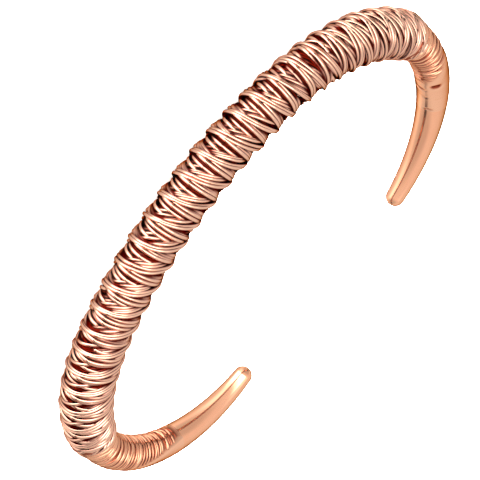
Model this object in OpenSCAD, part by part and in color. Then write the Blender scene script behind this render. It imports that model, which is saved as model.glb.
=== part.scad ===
// Open cuff bangle of copper wire wound on a round bar, lying on its side.
// The front faces -Y, the mouth between the two tips faces +Y, and the lowest point is at z = 0.
// Two bands of fine wire wind crosswise along the bar, one over the other,
// and a close wrap of finer wire carries each end of the winding down to the bare tapered tip.

/* [Cuff outline] */
// Bend radius of the front, at the middle of the bar
front_r = 48; // [44:1:52]
// Angle that the front turns through
front_turn = 43; // [40:1:46]
// Bend radius of the two flanks beside the front
flank_r = 27.5; // [25:0.5:30]
// Angle that each flank turns through
flank_turn = 14; // [12:1:16]
// Bend radius of the left shoulder
left_shoulder_r = 22.5; // [21:0.5:24]
// Angle that the left shoulder turns through
left_shoulder_turn = 90; // [86:1:94]
// Bend radius of the left arm, out to its tip
left_arm_r = 22; // [20:0.5:24]
// Angle that the left arm turns through
left_arm_turn = 43; // [38:1:46]
// Bend radius of the right shoulder
right_shoulder_r = 20; // [19:0.5:22]
// Angle that the right shoulder turns through
right_shoulder_turn = 94; // [90:1:98]
// Bend radius of the right arm, out to its tip
right_arm_r = 17; // [16:0.5:20]
// Angle that the right arm turns through
right_arm_turn = 47.5; // [44:0.5:50]

/* [Bar ends] */
// Length of bare bar at the left tip
left_bare_len = 15.5; // [13:0.5:18]
// Length of bare bar at the right tip
right_bare_len = 13; // [12:0.5:16]
// Length of the shoulder where the bar steps down under its wire
neck_len = 0.5; // [0.3:0.1:1]

/* [Winding] */
// Distance along the bar from one turn of a band to the next
turn_pitch = 3.02; // [2.8:0.01:3.4]
// Width of the outer band, four wires side by side
outer_band_w = 1.5; // [1:0.1:1.8]
// Width of the inner band, five wires side by side
inner_band_w = 2.2; // [1.6:0.1:2.4]
// Thickness of the outer band
outer_band_t = 0.4; // [0.3:0.02:0.42]
// Thickness of the inner band
inner_band_t = 0.4; // [0.3:0.02:0.42]
// Distance from each tip to the middle of the outer band's end
outer_band_start = 31.8; // [31.6:0.1:34]
// Distance from each tip to the middle of the inner band's end
inner_band_start = 35.6; // [35.4:0.1:38]
// Running gap between the bar, the inner band and the outer band
layer_gap = 0.13; // [0.12:0.01:0.14]

/* [End wraps] */
// Spacing of the ridges of the close wrap
ridge_pitch = 0.62; // [0.6:0.02:0.9]
// Height of a ridge over the groove beside it, at the wound end of the wrap
ridge_h = 0.16; // [0.08:0.02:0.18]
// Gap between a wrap and the bar inside it
wrap_gap = 0.1; // [0.09:0.01:0.12]
// Distance from each tip to the wound end of the wrap
wrap_end = 30.7; // [29:0.1:30.8]

/* [Hidden] */

// Columns of the thickness table: distance from a tip, radius over all that is there
// (bare bar, end wrap or outer band), and radius of the bar under its wire
FROM_TIP = 0;
OUTSIDE_R = 1;
CORE_R = 2;
thickness = [
    [0, 1.25, 1.25],
    [4, 1.46, 1.30],
    [8, 1.68, 1.45],
    [12, 1.90, 1.60],
    [16, 2.10, 1.76],
    [20, 2.28, 1.92],
    [24, 2.42, 2.04],
    [30.8, 2.62, 2.20],
    [34, 3.36, 2.30],
    [42, 3.56, 2.50],
    [50, 3.42, 2.36],
    [60, 3.30, 2.24],
    [78, 3.26, 2.20],
];
outside_rows = [for (row = thickness) [row[FROM_TIP], row[OUTSIDE_R]]];
core_rows = [for (row = thickness) [row[FROM_TIP], row[CORE_R]]];
tip_r = thickness[0][OUTSIDE_R];

// Bends from the left tip round the front to the right tip: bend radius and angle turned
BEND_R = 0;
BEND_TURN = 1;
bends = [
    [left_arm_r, left_arm_turn],
    [left_shoulder_r, left_shoulder_turn],
    [flank_r, flank_turn],
    [front_r, front_turn],
    [flank_r, flank_turn],
    [right_shoulder_r, right_shoulder_turn],
    [right_arm_r, right_arm_turn],
];
function bend_len(bend) = bend[BEND_R] * bend[BEND_TURN] * PI / 180;
function bend_step(r, from, to) = r * [sin(to) - sin(from), cos(from) - cos(to)];

// Where each bend starts, walking from the left tip: point, heading and distance walked
START_POINT = 0;
START_HEADING = 1;
START_DIST = 2;
bend_starts = [
    for (i = 0, point = [0, 0], heading = 0, dist = 0;
         i <= len(bends);
         point = i < len(bends)
             ? point + bend_step(bends[i][BEND_R], heading, heading + bends[i][BEND_TURN]) : point,
         heading = i < len(bends) ? heading + bends[i][BEND_TURN] : heading,
         dist = i < len(bends) ? dist + bend_len(bends[i]) : dist,
         i = i + 1)
    [point, heading, dist]
];
cuff_len = bend_starts[len(bends)][START_DIST];
// Turn that puts the two tips level with each other
tip_to_tip = bend_starts[len(bends)][START_POINT];
level_turn = -atan2(tip_to_tip.y, tip_to_tip.x);

// Point and heading of the bar's axis at a distance s from the left tip, before centring
function bend_at(s) =
    max([for (i = [0 : len(bends) - 1]) if (i == 0 || bend_starts[i][START_DIST] <= s) i]);
function walked_heading(s, i) =
    bend_starts[i][START_HEADING] + (s - bend_starts[i][START_DIST]) / bends[i][BEND_R] * 180 / PI;
function walked_point(s) =
    let (i = bend_at(s), from = bend_starts[i][START_HEADING])
    bend_starts[i][START_POINT] + bend_step(bends[i][BEND_R], from, walked_heading(s, i));
function turned(p, a) = [p.x * cos(a) - p.y * sin(a), p.x * sin(a) + p.y * cos(a)];
function level_point(s) = turned(walked_point(s), level_turn);

// Radii at a distance s from the left tip
function from_tip(s) = min(s, cuff_len - s);
function outside_r(s) = lookup(from_tip(s), outside_rows);
function core_r(s) = lookup(from_tip(s), core_rows);

// Centre of the box that holds the cuff
box_rows = [for (s = [0 : 1 : cuff_len])
    let (p = level_point(s), r = outside_r(s))
    [p - [r, r], p + [r, r]]];
box_low = [min([for (row = box_rows) row[0].x]), min([for (row = box_rows) row[0].y])];
box_high = [max([for (row = box_rows) row[1].x]), max([for (row = box_rows) row[1].y])];
box_mid = (box_low + box_high) / 2;

// Underside of each band: the outer one clears the inner one, and comes down over its last turn at each end
function inner_base_r(s) = core_r(s) + layer_gap;
function outer_base_r(s) =
    max(inner_base_r(s), min(inner_base_r(s) + inner_band_t + layer_gap, outside_r(s) - outer_band_t));

// Where each band passes the front of the cuff: distance along the bar and angle round it
outer_mark_s = 73.4;
inner_mark_s = 73.6;
mark_phi = -63;
band_segments = 14;
// Stations of a band, and its angle there: hand is 1 where the angle grows along the bar,
// and -1 where it falls
function band_count(start) = round((cuff_len - 2 * start) / turn_pitch * band_segments);
function band_s(start, i) = start + (cuff_len - 2 * start) * i / band_count(start);
function band_phi(mark_s, hand, s) = mark_phi + hand * 360 * (s - mark_s) / turn_pitch;

// Height of the axis, with the lowest corner of the outer band on the floor
axis_z = max([for (i = [0 : band_count(outer_band_start)])
    let (s = band_s(outer_band_start, i))
    -(outer_base_r(s) + outer_band_t) * sin(band_phi(outer_mark_s, -1, s))]);

function axis_point(s) = level_point(s) - box_mid;
function axis_heading(s) = walked_heading(s, bend_at(s)) + level_turn;
// Point at radius r round the axis: phi is 0 on the outer side of the cuff and 90 on top
function round_axis(s, phi, r) =
    let (p = axis_point(s), h = axis_heading(s), out = r * cos(phi))
    [p.x + out * sin(h), p.y - out * cos(h), axis_z + r * sin(phi)];

// Closed solid through rings of points, each ring in the same order
module skin(rings) {
    sides = len(rings[0]);
    last = len(rings) - 1;
    polyhedron(
        points = [for (ring = rings) each ring],
        faces = [
            for (i = [0 : last - 1], j = [0 : sides - 1])
                let (a = i * sides + j, b = i * sides + (j + 1) % sides)
                each [[a, b, a + sides], [b, b + sides, a + sides]],
            for (j = [1 : sides - 2]) [0, j + 1, j],
            for (j = [1 : sides - 2]) [last * sides, last * sides + j, last * sides + j + 1],
        ]
    );
}

function backwards(list) = [for (i = [len(list) - 1 : -1 : 0]) list[i]];
// Distance from the left tip of a point on either arm: side is 0 for the left one and 1 for the right one
function arm_s(side, dist) = side == 0 ? dist : cuff_len - dist;

// Stations along the bar's own surface: distance from the left tip and radius
STATION_S = 0;
STATION_R = 1;
bar_sides = 18;
bar_step = 2.5;
dome_angles = [12, 32, 52, 72];
// Domed tip and bare arm, from the tip to where the wire starts
function bare_arm(side, bare_len) = concat(
    [for (a = dome_angles) [arm_s(side, -tip_r * cos(a)), tip_r * sin(a)]],
    [for (dist = [0 : bar_step : bare_len - bar_step / 2]) [arm_s(side, dist), outside_r(dist)]],
    [[arm_s(side, bare_len), outside_r(bare_len)]]
);
left_neck = left_bare_len + neck_len;
right_neck = cuff_len - right_bare_len - neck_len;
core_count = round((right_neck - left_neck) / bar_step);
core_stations = [for (i = [0 : core_count])
    let (s = left_neck + (right_neck - left_neck) * i / core_count)
    [s, core_r(s)]];
bar_stations = concat(
    bare_arm(0, left_bare_len),
    core_stations,
    backwards(bare_arm(1, right_bare_len))
);

module cuff_bar() {
    color("#E2A07C")
        skin([for (station = bar_stations)
            [for (j = [0 : bar_sides - 1])
                round_axis(station[STATION_S], j * 360 / bar_sides, station[STATION_R])]]);
}

// Cross-section of a band: place across the width and height, as shares of each, crowned on top
BAND_SECTION = [[-0.5, 0], [0.5, 0], [0.5, 0.55], [0.22, 1], [-0.22, 1], [-0.5, 0.55]];

// One wound band from one end of the winding to the other
module band(start, mark_s, hand, width, thick, is_outer) {
    skin([for (i = [0 : band_count(start)])
        let (s = band_s(start, i), phi = band_phi(mark_s, hand, s))
        [for (corner = BAND_SECTION)
            let (at = s + hand * corner.x * width,
                 base = is_outer ? outer_base_r(at) : inner_base_r(at))
            round_axis(at, phi, base + corner.y * thick)]]);
}

module inner_band() {
    color("#C97A56")
        band(inner_band_start, inner_mark_s, 1, inner_band_w, inner_band_t, false);
}

module outer_band() {
    color("#EFB08C")
        band(outer_band_start, outer_mark_s, -1, outer_band_w, outer_band_t, true);
}

// Close wrap between a bare arm and the winding: a ridged sleeve whose ridges fade out towards the tip
wrap_sides = 16;
wrap_inner_rings = 8;
// Share of the ridges' full height at the tip end, and share of the wrap over which they grow to it
tip_ridge_share = 0.2;
ridge_growth = 0.5;
module end_wrap(side, bare_len) {
    tip_end = bare_len + neck_len + wrap_gap;
    wrap_len = wrap_end - tip_end;
    ridges = round(wrap_len / ridge_pitch);
    // Outer surface from the tip end to the wound end, groove and ridge in turn
    outer = [for (i = [0 : 2 * ridges])
        let (along = i / (2 * ridges), dist = tip_end + along * wrap_len,
             groove = ridge_h * min(1, tip_ridge_share + (1 - tip_ridge_share) * along / ridge_growth))
        [arm_s(side, dist), outside_r(dist) - (i % 2 == 0 ? groove : 0)]];
    // Inner surface back again
    inner = [for (i = [0 : wrap_inner_rings])
        let (dist = wrap_end - wrap_len * i / wrap_inner_rings)
        [arm_s(side, dist), core_r(dist) + wrap_gap]];
    loop = side == 0 ? concat(outer, inner) : backwards(concat(outer, inner));
    count = len(loop);
    polyhedron(
        points = [for (station = loop, j = [0 : wrap_sides - 1])
            round_axis(station[STATION_S], j * 360 / wrap_sides, station[STATION_R])],
        faces = [for (i = [0 : count - 1], j = [0 : wrap_sides - 1])
            let (next = (i + 1) % count,
                 a = i * wrap_sides + j, b = i * wrap_sides + (j + 1) % wrap_sides,
                 c = next * wrap_sides + j, d = next * wrap_sides + (j + 1) % wrap_sides)
            each [[a, b, c], [b, d, c]]]
    );
}

module left_end_wrap() {
    color("#D98F6A") end_wrap(0, left_bare_len);
}

module right_end_wrap() {
    color("#D98F6A") end_wrap(1, right_bare_len);
}

cuff_bar();
inner_band();
outer_band();
left_end_wrap();
right_end_wrap();
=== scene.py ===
"""Dressed model of an open cuff bangle: copper wire wound crosswise on a tapered copper bar.

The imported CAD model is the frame. This script lays every single wire of the winding on the bar,
smooths the bar itself, gives each piece its copper finish and lights it on a pale studio floor.
"""

import logging
import math
from dataclasses import dataclass
from enum import Enum

import bpy
import numpy as np
from mathutils import Matrix, Vector


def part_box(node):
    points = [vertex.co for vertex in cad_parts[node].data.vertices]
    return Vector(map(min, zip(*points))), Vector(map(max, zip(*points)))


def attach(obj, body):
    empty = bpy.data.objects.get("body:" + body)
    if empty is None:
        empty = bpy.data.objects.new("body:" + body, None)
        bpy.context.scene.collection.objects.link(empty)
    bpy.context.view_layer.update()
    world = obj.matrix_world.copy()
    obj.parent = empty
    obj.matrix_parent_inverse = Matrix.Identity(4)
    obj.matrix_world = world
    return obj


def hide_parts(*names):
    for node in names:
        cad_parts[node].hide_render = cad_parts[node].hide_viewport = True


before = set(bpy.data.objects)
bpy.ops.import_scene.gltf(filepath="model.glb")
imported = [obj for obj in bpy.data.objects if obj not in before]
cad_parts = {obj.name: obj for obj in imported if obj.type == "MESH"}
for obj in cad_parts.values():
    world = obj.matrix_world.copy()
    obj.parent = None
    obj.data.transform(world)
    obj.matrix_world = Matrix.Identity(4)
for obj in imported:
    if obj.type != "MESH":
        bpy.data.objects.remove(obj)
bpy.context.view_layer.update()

log = logging.getLogger("cuff")

MM = 0.001
TURN = 360.0
ROOT = "root"
IMAGE_PX = 480

# Sockets of the Mix node, by number: for two numbers, and for two colours.
NUMBER_A, NUMBER_B, NUMBER_OUT = 2, 3, 0
COLOUR_A, COLOUR_B, COLOUR_OUT = 6, 7, 2


def linear(hex_colour: str) -> tuple[float, float, float, float]:
    """Turn an sRGB hex colour into linear values, by the standard curve.

    Args:
        hex_colour: Six hex digits, such as "E2A07C".

    Returns:
        Red, green, blue and an opaque alpha.
    """
    channels = [int(hex_colour[i:i + 2], 16) / 255 for i in (0, 2, 4)]
    bent = [c / 12.92 if c <= 0.04045 else ((c + 0.055) / 1.055) ** 2.4 for c in channels]
    return bent[0], bent[1], bent[2], 1.0


def add_node(tree: bpy.types.NodeTree, kind: str, settings: dict | None = None,
             links: dict | None = None) -> bpy.types.Node:
    """Add a node to a tree.

    Args:
        tree: The node tree of a material or the world.
        kind: The node's type name.
        settings: Values by name: a property of the node, or else the default of an input.
        links: Output sockets by the name or number of the input that they feed.

    Returns:
        The new node.
    """
    node = tree.nodes.new(kind)
    for name, value in (settings or {}).items():
        if isinstance(name, str) and hasattr(node, name):
            setattr(node, name, value)
        else:
            node.inputs[name].default_value = value
    for name, socket in (links or {}).items():
        tree.links.new(socket, node.inputs[name])
    return node


def new_finish(name: str, metallic: float) -> tuple[bpy.types.Material, bpy.types.NodeTree, bpy.types.Node]:
    """Start a finish.

    Args:
        name: The material's name.
        metallic: 1 for a metal, and 0 for anything else.

    Returns:
        The material, its node tree and its shader.
    """
    made = bpy.data.materials.new(name)
    made.use_nodes = True
    tree = made.node_tree
    shader = tree.nodes["Principled BSDF"]
    shader.inputs["Metallic"].default_value = metallic
    return made, tree, shader


def per_metre(mm: float) -> float:
    """Texture scale, in features per metre, of a feature of this size in millimetres."""
    return 1 / (mm * MM)


@dataclass(frozen=True)
class Bend:
    """One bend of the bar: its radius at the middle of the bar, and the angle that it turns."""

    radius: float
    turn: float

    @property
    def length(self) -> float:
        """Length along the middle of the bar, in millimetres."""
        return self.radius * math.radians(self.turn)


@dataclass(frozen=True)
class Thickness:
    """How thick the cuff is, in millimetres by the distance from the nearer tip.

    outside is the radius over everything, core the radius of the bar under its wire, wire the
    radius of the wire itself, and knob the height by which bundles of wire stand proud.
    """

    from_tip: tuple[float, ...] = (0, 4, 8, 12, 16, 20, 24, 30.8, 34, 42, 50, 60, 78)
    outside: tuple[float, ...] = (1.25, 1.46, 1.68, 1.90, 2.10, 2.28, 2.42, 2.62,
                                  3.36, 3.56, 3.42, 3.30, 3.26)
    core: tuple[float, ...] = (1.25, 1.30, 1.45, 1.60, 1.76, 1.92, 2.04, 2.20,
                               2.30, 2.50, 2.36, 2.24, 2.20)
    wire: tuple[float, ...] = (.18, .18, .18, .18, .18, .18, .19, .21, .24, .27, .285, .285, .285)
    knob: tuple[float, ...] = (0, 0, 0, 0, 0, 0, 0, 0, 0, 0, .08, .10, .10)


@dataclass
class CuffAxis:
    """Middle line of the bar, walked from the left tip round the front to the right tip.

    All sizes are in millimetres and degrees. The angle phi round the bar is 0 on the outer side
    of the cuff and 90 on top. The bare lengths are those of the arms that stand out of the wire.
    """

    bends: tuple[Bend, ...] = (Bend(22, 43), Bend(22.5, 90), Bend(27.5, 14), Bend(48, 43),
                               Bend(27.5, 14), Bend(20, 94), Bend(17, 47.5))
    thickness: Thickness = Thickness()
    left_bare: float = 15.5
    right_bare: float = 13.0
    box_step: float = 1.0

    def __post_init__(self) -> None:
        """Walk the bends, level the tips and centre the cuff as the CAD model does."""
        self.starts = [(0.0, 0.0, 0.0, 0.0)]
        for bend in self.bends:
            x, y, heading, walked = self.starts[-1]
            step_x, step_y = self._step(bend.radius, heading, heading + bend.turn)
            self.starts.append((x + step_x, y + step_y, heading + bend.turn, walked + bend.length))
        end_x, end_y, _, self.length = self.starts[-1]
        self.level_turn = -math.atan2(end_y, end_x)
        stations = np.arange(0, self.length, self.box_step)
        level, reach = self._level_point(stations), self.outside(stations)[:, None]
        self.middle = ((level - reach).min(0) + (level + reach).max(0)) / 2
        low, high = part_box("cuff_bar")
        self.height = (low.z + high.z) / 2 / MM

    @staticmethod
    def _step(radius: float, start: float, end: float) -> tuple[float, float]:
        """Way walked along a bend.

        Args:
            radius: The bend's radius.
            start: Heading at the start, in degrees.
            end: Heading at the end.

        Returns:
            The step in x and in y. All three values may be arrays.
        """
        a, b = np.radians(start), np.radians(end)
        return radius * (np.sin(b) - np.sin(a)), radius * (np.cos(a) - np.cos(b))

    def _walk(self, s: np.ndarray) -> tuple[np.ndarray, np.ndarray]:
        """Walk the bends, before the tips are levelled.

        Args:
            s: Distances from the left tip.

        Returns:
            A row of x and y for each distance, and the headings in degrees.
        """
        starts = np.array(self.starts)
        index = np.clip(np.searchsorted(starts[:, 3], s, side="right") - 1, 0, len(self.bends) - 1)
        radius = np.array([bend.radius for bend in self.bends])[index]
        start = starts[index]
        heading = start[:, 2] + np.degrees((s - start[:, 3]) / radius)
        step_x, step_y = self._step(radius, start[:, 2], heading)
        return start[:, :2] + np.stack([step_x, step_y], 1), heading

    def _level_point(self, s: np.ndarray) -> np.ndarray:
        """Points on the middle line with the two tips level.

        Args:
            s: Distances from the left tip.

        Returns:
            A row of x and y for each distance.
        """
        point, _ = self._walk(s)
        cos, sin = math.cos(self.level_turn), math.sin(self.level_turn)
        return point @ np.array([[cos, sin], [-sin, cos]])

    def from_tip(self, s: np.ndarray) -> np.ndarray:
        """Distance from the nearer tip."""
        return np.minimum(s, self.length - s)

    def outside(self, s: np.ndarray) -> np.ndarray:
        """Radius over everything, at distances s from the left tip."""
        return np.interp(self.from_tip(s), self.thickness.from_tip, self.thickness.outside)

    def core(self, s: np.ndarray) -> np.ndarray:
        """Radius of the bar under its wire, at distances s from the left tip."""
        return np.interp(self.from_tip(s), self.thickness.from_tip, self.thickness.core)

    def knob(self, s: np.ndarray) -> np.ndarray:
        """Height of the knobs over the outside, at distances s from the left tip."""
        return np.interp(self.from_tip(s), self.thickness.from_tip, self.thickness.knob)

    def wire(self, s: np.ndarray) -> np.ndarray:
        """Radius of the wire wound at distances s from the left tip."""
        return np.interp(self.from_tip(s), self.thickness.from_tip, self.thickness.wire)

    def basis(self, s: np.ndarray) -> tuple[np.ndarray, np.ndarray]:
        """Middle points and outward directions.

        Args:
            s: Distances from the left tip.

        Returns:
            Two arrays with a row of x, y and z for each distance.
        """
        _, heading = self._walk(s)
        angle = np.radians(heading) + self.level_turn
        flat = self._level_point(s) - self.middle
        zero = np.zeros(len(s))
        outward = np.stack([np.sin(angle), -np.cos(angle), zero], 1)
        return np.column_stack([flat, zero + self.height]), outward

    def place(self, s: np.ndarray, phi: np.ndarray, radius: np.ndarray) -> np.ndarray:
        """Points round the middle line.

        Args:
            s: Distances from the left tip.
            phi: Angles round the bar, in degrees.
            radius: Distances from the middle line.

        Returns:
            A row of x, y and z in millimetres for each point.
        """
        middle, outward = self.basis(s)
        angle = np.radians(phi)[:, None]
        up = np.array([0, 0, 1.0])
        return middle + radius[:, None] * (np.cos(angle) * outward + np.sin(angle) * up)


class Family(Enum):
    """The kinds of wire in the winding."""

    UPRIGHT = "upright"
    LEANING = "leaning"
    ARCHING = "arching"
    CLOSE = "close"


@dataclass(frozen=True)
class Lay:
    """How the wires of one family run round the bar.

    Each turn moves on by advance. A loop of wire doesn't lie square to the bar: it is tilted, so
    the wire leans most on one side. All in millimetres, with tilt_at in degrees. gauge is the
    wire's thickness as a share of the usual one.
    """

    family: Family
    advance: float
    tilt: float
    tilt_at: float
    wander: float
    gauge: float = 1.0


@dataclass
class Common:
    """Wander that all wires of a family share, by the distance from the left tip."""

    places: np.ndarray
    moved: np.ndarray
    tilted: np.ndarray

    def shift(self, s: np.ndarray) -> np.ndarray:
        """Distance along the bar by which the family is moved at s."""
        return np.interp(s, self.places, self.moved)

    def tilt_share(self, s: np.ndarray) -> np.ndarray:
        """Share of its usual tilt that the family has at s."""
        return 1 + np.interp(s, self.places, self.tilted)


@dataclass
class Wire:
    """One laid wire: its stations, distance from the bar's middle, radius and depth in the pile."""

    lay: Lay
    s: np.ndarray
    phi: np.ndarray
    r: np.ndarray
    radius: np.ndarray
    deep: np.ndarray

    def part(self, cut: slice) -> "Wire":
        """A stretch of the wire."""
        return Wire(self.lay, self.s[cut], self.phi[cut], self.r[cut], self.radius[cut], self.deep[cut])


@dataclass(frozen=True)
class Pressing:
    """How the pile of wires is pressed even between the bar and the outside of the cuff.

    sunk is the share of its radius by which the lowest wire goes into the bar, and keep the share
    of the natural heights at the crossings that is left. The pile is levelled over the near
    reach, and its swells are measured against the far reach. most_under and most_over limit, in
    millimetres, how far a wire lies under or over the top of the pile.
    """

    sunk: float = 1.2
    keep: float = 0.6
    near_mm: float = 0.28
    near_deg: float = 14.0
    far_mm: float = 2.5
    far_turns: float = 3.0
    top_percent: float = 94.0
    swell_spread: float = 1.5
    most_under: float = 0.36
    most_over: float = 0.04
    lowest_rise: float = -0.35


class Winder:
    """Winds wires on the bar one after another, each resting on what is already there."""

    # Cells of the height map: millimetres along the bar, and degrees round it.
    CELL_S = 0.03
    CELL_PHI = 3.0
    # Degrees between the points of a wire, and the angle at which a wire's offset is given.
    STEP_PHI = 8.0
    MARK_PHI = 30.0
    # Rounds that pull a wire taut, and rounds that take out its kinks.
    RELAX_ROUNDS = 160
    SOFTEN_ROUNDS = 2
    # Share of its radius by which a wire stands up under the next one, which beds down on it.
    BEDDING = 0.62
    # Share of a turn over which an end dives under the pile.
    END_TURN = 0.25
    # Degrees over which a wire's own wander changes, and widths that the smoothing bell reaches.
    WANDER_PHI = 80.0
    BELL_REACH = 3
    # Millimetres between the values of a family's shared wander.
    PLACE_STEP = 0.5
    # Share of the pile from which the highest wires are held back, and the room that is left.
    KNEE, KNEE_ROOM = 0.9, 0.1

    def __init__(self, axis: CuffAxis, seed: int) -> None:
        """Start with the bare bar.

        Args:
            axis: The cuff's middle line.
            seed: Seed of the hand-wound irregularity.
        """
        self.axis = axis
        self.random = np.random.default_rng(seed)
        rows = np.arange(int(axis.length / self.CELL_S) + 1) * self.CELL_S
        self.top = np.repeat(axis.core(rows)[:, None], int(TURN / self.CELL_PHI), 1)
        self.wires: list[Wire] = []

    def drift(self, count: int, width: float, size: float) -> np.ndarray:
        """Smooth random values.

        Args:
            count: How many values.
            width: Number of values over which they change.
            size: Standard deviation.

        Returns:
            The values.
        """
        reach = int(self.BELL_REACH * width)
        bell = np.exp(-0.5 * (np.arange(-reach, reach + 1) / width) ** 2)
        raw = self.random.standard_normal(count + 2 * reach)
        return size * np.convolve(raw, bell / math.sqrt((bell ** 2).sum()), mode="valid")

    def common(self, sway: tuple[float, float], swing: tuple[float, float],
               crowd: tuple[tuple[float, ...], tuple[float, ...]] = ((0,), (0,))) -> Common:
        """Draw the wander that the wires of a family share.

        Args:
            sway: Width and size of the wander along the bar, as drift takes them.
            swing: Width and size of the changes in tilt.
            crowd: Distances from the left tip, and how far the family is moved there.

        Returns:
            The shared wander.
        """
        places = np.arange(0, self.axis.length, self.PLACE_STEP)
        moved = np.interp(places, *crowd) + self.drift(len(places), *sway)
        return Common(places, moved, self.drift(len(places), *swing))

    def route(self, lay: Lay, offset: float, span: tuple[float, float],
              common: Common) -> tuple[np.ndarray, np.ndarray]:
        """Way of one wire along and round the bar.

        Args:
            lay: How its family runs.
            offset: Where it passes the angle MARK_PHI, as a distance from the left tip.
            span: Distances from the left tip between which it runs.
            common: The wander that all the wires of the family share.

        Returns:
            Distances from the left tip, and angles round the bar that grow along the wire.
        """
        turns = sorted((edge - offset) / lay.advance for edge in span)
        phi = self.MARK_PHI + np.arange(turns[0] * TURN, turns[1] * TURN, self.STEP_PHI)
        even = offset + lay.advance * (phi - self.MARK_PHI) / TURN
        lean = (np.sin(np.radians(phi - lay.tilt_at))
                - math.sin(math.radians(self.MARK_PHI - lay.tilt_at)))
        own = self.drift(len(phi), self.WANDER_PHI / self.STEP_PHI, lay.wander)
        s = even + lay.tilt * common.tilt_share(even) * lean + own + common.shift(even)
        return s, phi

    def lay_wire(self, lay: Lay, s: np.ndarray, phi: np.ndarray) -> None:
        """Pull a wire tight over what is already wound, and add it to the height map.

        Args:
            lay: How its family runs.
            s: Distances of its points from the left tip.
            phi: Their angles round the bar.
        """
        radius = lay.gauge * self.axis.wire(s)
        slope = np.gradient(s, np.radians(phi)) / (self.axis.core(s) + 2 * radius)
        half = radius * np.sqrt(1 + slope ** 2)
        rest = np.zeros(len(s))
        for row, column, off in self._cells(s, phi, half):
            touch = self.top[row, column] + radius * np.sqrt(np.clip(1 - off ** 2, 0, 1))
            rest = np.where(np.abs(off) < 1, np.maximum(rest, touch), rest)
        r = rest.copy()
        taut = math.cos(math.radians(self.STEP_PHI))
        for _ in range(self.RELAX_ROUNDS):
            r[1:-1] = np.maximum(rest[1:-1], 0.5 * (r[:-2] + r[2:]) * taut)
        for _ in range(self.SOFTEN_ROUNDS):
            r[1:-1] = 0.25 * r[:-2] + 0.5 * r[1:-1] + 0.25 * r[2:]
        tucked = int(TURN * self.END_TURN / self.STEP_PHI)
        self._stamp(*(v[tucked:-tucked] for v in (s, phi, r, radius, half)))
        self.wires.append(Wire(lay, s, phi, r, radius, np.zeros(len(s))))

    def _cells(self, s: np.ndarray, phi: np.ndarray,
               half: np.ndarray) -> list[tuple[np.ndarray, np.ndarray, np.ndarray]]:
        """Cells of the height map that a wire covers, one row of them after another.

        Args:
            s: Distances of the wire's points from the left tip.
            phi: Their angles round the bar.
            half: Half of the wire's width along the bar.

        Returns:
            For each row: the cells' rows and columns, and how far they lie from the wire's
            middle, as a share of its half width.
        """
        column = np.round(phi / self.CELL_PHI).astype(int) % self.top.shape[1]
        reach = int(math.ceil(half.max() / self.CELL_S))
        cells = []
        for j in range(-reach, reach + 1):
            row = np.clip(np.round(s / self.CELL_S + j).astype(int), 0, len(self.top) - 1)
            cells.append((row, column, (row * self.CELL_S - s) / half))
        return cells

    def _stamp(self, s: np.ndarray, phi: np.ndarray, r: np.ndarray, radius: np.ndarray,
               half: np.ndarray) -> None:
        """Raise the height map under a wire.

        Args:
            s: Distances of the wire's points from the left tip.
            phi: Their angles round the bar.
            r: Their distances from the bar's middle.
            radius: The wire's radius.
            half: Half of its width along the bar.
        """
        index = np.arange(len(s))
        fine = np.arange(0, len(s) - 1, 0.5)
        s, phi, r, radius, half = (np.interp(fine, index, v) for v in (s, phi, r, radius, half))
        for row, column, off in self._cells(s, phi, half):
            inside = np.abs(off) < 1
            crown = r + radius * self.BEDDING * np.sqrt(np.clip(1 - off ** 2, 0, 1))
            np.maximum.at(self.top, (row[inside], column[inside]), crown[inside])

    def share(self, wire: Wire, full: float) -> np.ndarray:
        """How high a wire lies in the pile.

        Args:
            wire: The wire.
            full: Height of the pile over the lowest wire, in millimetres.

        Returns:
            0 where it lies on the bar, up to 1 on top of it all.
        """
        raw = np.clip((wire.r - self.axis.core(wire.s) - wire.radius) / full, 0, None)
        held = self.KNEE + self.KNEE_ROOM * np.tanh((raw - self.KNEE) / self.KNEE_ROOM)
        return np.where(raw < self.KNEE, raw, held)

    def smooth_top(self, along_mm: float, around_deg: float) -> np.ndarray:
        """The height map, smoothed.

        Args:
            along_mm: Reach of the smoothing along the bar.
            around_deg: Reach round the bar.

        Returns:
            A map of the same shape.
        """
        spread = []
        for count, reach in zip(self.top.shape, (along_mm / self.CELL_S, around_deg / self.CELL_PHI)):
            wave = np.fft.fftfreq(count)
            spread.append(np.exp(-2 * (math.pi * wave * reach) ** 2))
        soft = np.fft.ifft2(np.fft.fft2(self.top) * spread[0][:, None] * spread[1][None, :])
        return soft.real

    def read(self, heights: np.ndarray, s: np.ndarray, phi: np.ndarray) -> np.ndarray:
        """Values of a map at places on the bar, between its cells.

        Args:
            heights: The map.
            s: Distances from the left tip.
            phi: Angles round the bar, in degrees.

        Returns:
            A value for each place.
        """
        just_inside = len(heights) - 1.001
        row = np.clip(s / self.CELL_S, 0, just_inside)
        column = phi / self.CELL_PHI % heights.shape[1]
        i, j = row.astype(int), column.astype(int) % heights.shape[1]
        u, v, k = row - i, column % 1, (j + 1) % heights.shape[1]
        near = heights[i, j] * (1 - v) + heights[i, k] * v
        far = heights[i + 1, j] * (1 - v) + heights[i + 1, k] * v
        return near * (1 - u) + far * u

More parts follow.
